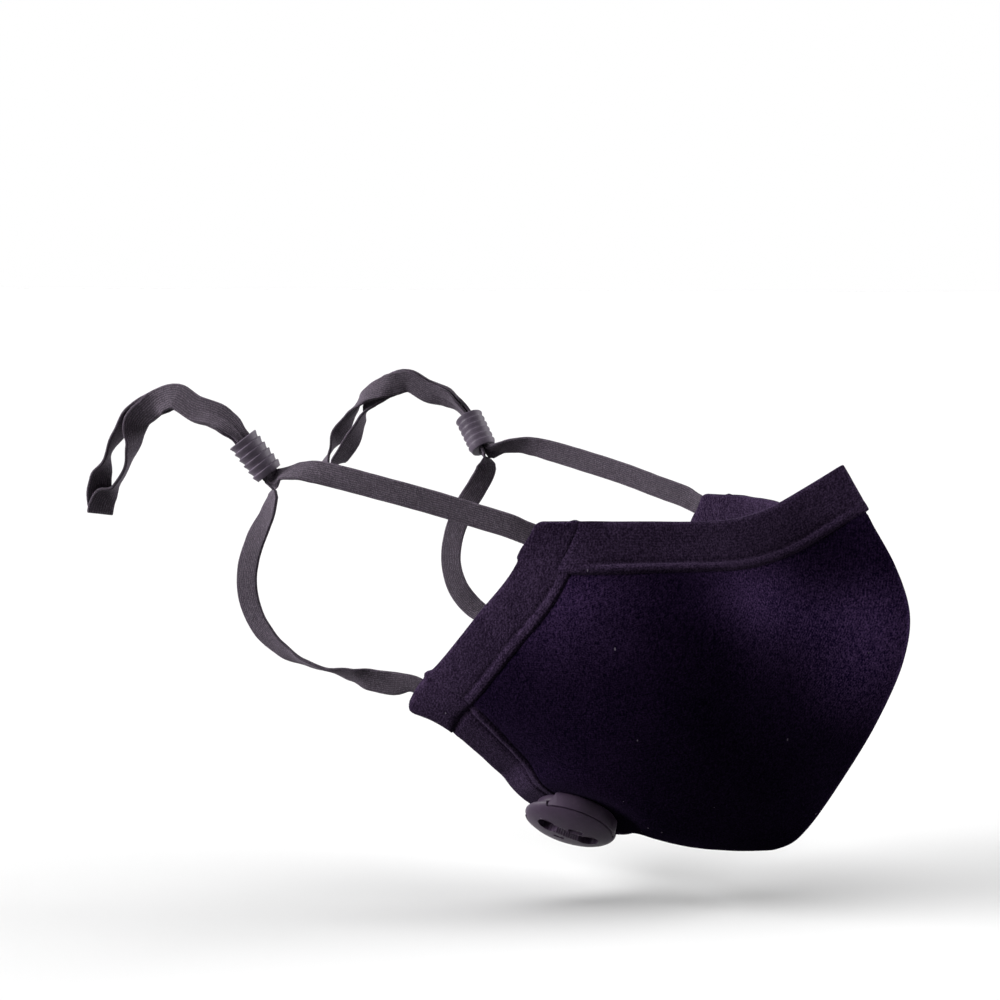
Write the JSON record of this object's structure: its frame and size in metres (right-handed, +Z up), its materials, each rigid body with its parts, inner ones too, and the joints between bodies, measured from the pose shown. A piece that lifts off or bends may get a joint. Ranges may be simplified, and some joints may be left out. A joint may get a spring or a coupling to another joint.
{
  "type": "valved respirator mask",
  "caption": "Black two-panel cloth respirator mask in its worn form, with banded edges, one exhalation valve and adjustable elastic ear loops with ribbed sliders.",
  "frame": {"origin": "centre of the face opening on the midplane, where the wearer's face sits", "axes": "+Z up, the wearer looks along -Y so +Y runs to the back of the head, the wearer's right side is -X"},
  "size_m": [0.1636, 0.2374, 0.1397],
  "materials": {
    "panel_cloth": "brushed knit laminated to thin foam, matt",
    "band_cloth": "doubled knit binding, matt",
    "elastic": "flat knitted elastic, matt",
    "slider_rubber": "moulded soft rubber, satin",
    "valve_plastic": "moulded plastic, satin",
    "valve_silicone": "thin soft flap, matt"
  },
  "bodies": {
    "root": {"panel_right": "panel_cloth", "panel_left": "panel_cloth", "top_band": "band_cloth", "bottom_band": "band_cloth", "side_casing_right": "band_cloth", "side_casing_left": "band_cloth", "corner_cuff_right": "band_cloth", "corner_cuff_left": "band_cloth", "ear_loop_right": "elastic", "ear_loop_left": "elastic", "slider_right": "slider_rubber", "slider_left": "slider_rubber", "valve_seat": "valve_plastic", "valve_flap": "valve_silicone", "valve_cap": "valve_plastic", "valve_ring": "valve_plastic"}
  },
  "joints": []
}
